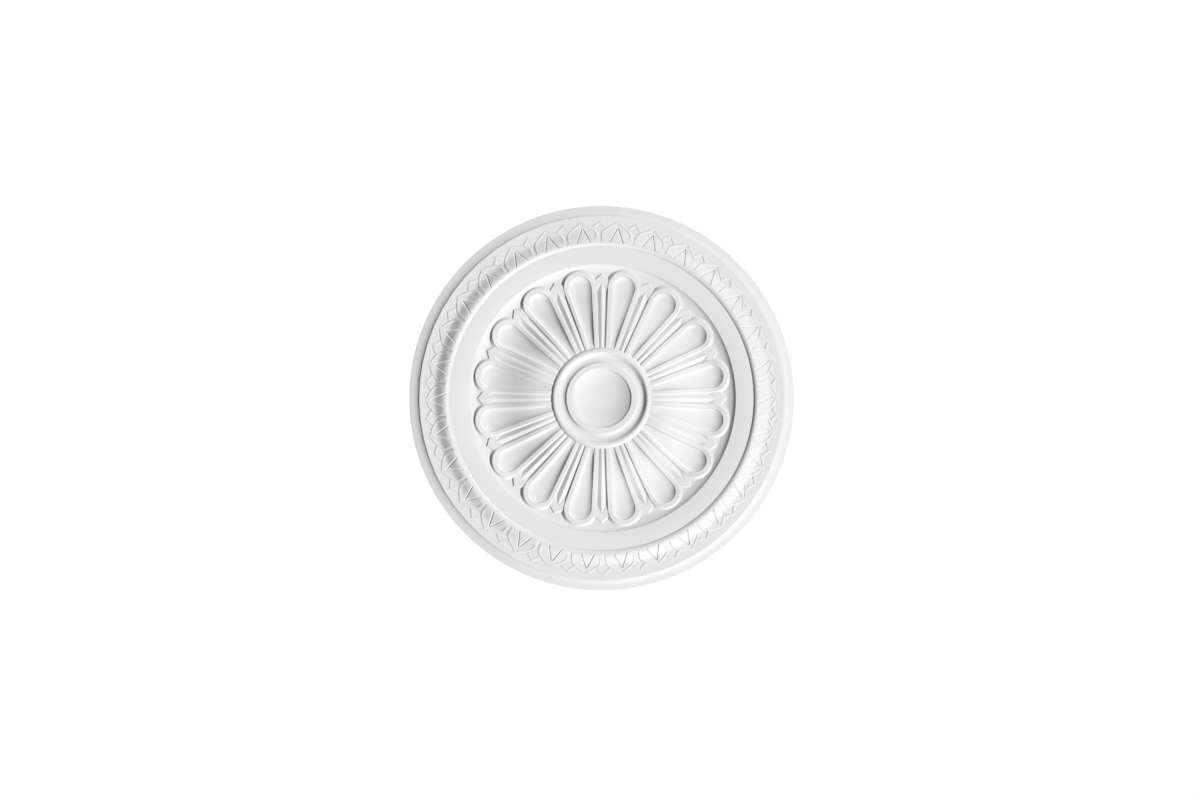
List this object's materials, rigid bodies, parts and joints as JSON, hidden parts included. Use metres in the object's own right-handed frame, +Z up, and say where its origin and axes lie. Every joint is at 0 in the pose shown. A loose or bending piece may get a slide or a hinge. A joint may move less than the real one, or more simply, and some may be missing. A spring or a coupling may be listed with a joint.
{
  "type": "ceiling rose",
  "caption": "Round moulded ceiling rose with a flat back, a hollowed hub, a ring of spoon-shaped petals and darts, and a leaf-and-dart border.",
  "frame": {"origin": "middle of the flat back, on the ceiling plane", "axes": "+Z up, out of the back into the ceiling; the ornament faces -Z; +X runs along a dart between two petals"},
  "size_m": [0.6, 0.6, 0.0388],
  "materials": {
    "moulding": "smooth matt white primer, unpainted"
  },
  "bodies": {
    "root": {"ceiling_rose": "moulding"}
  },
  "joints": []
}
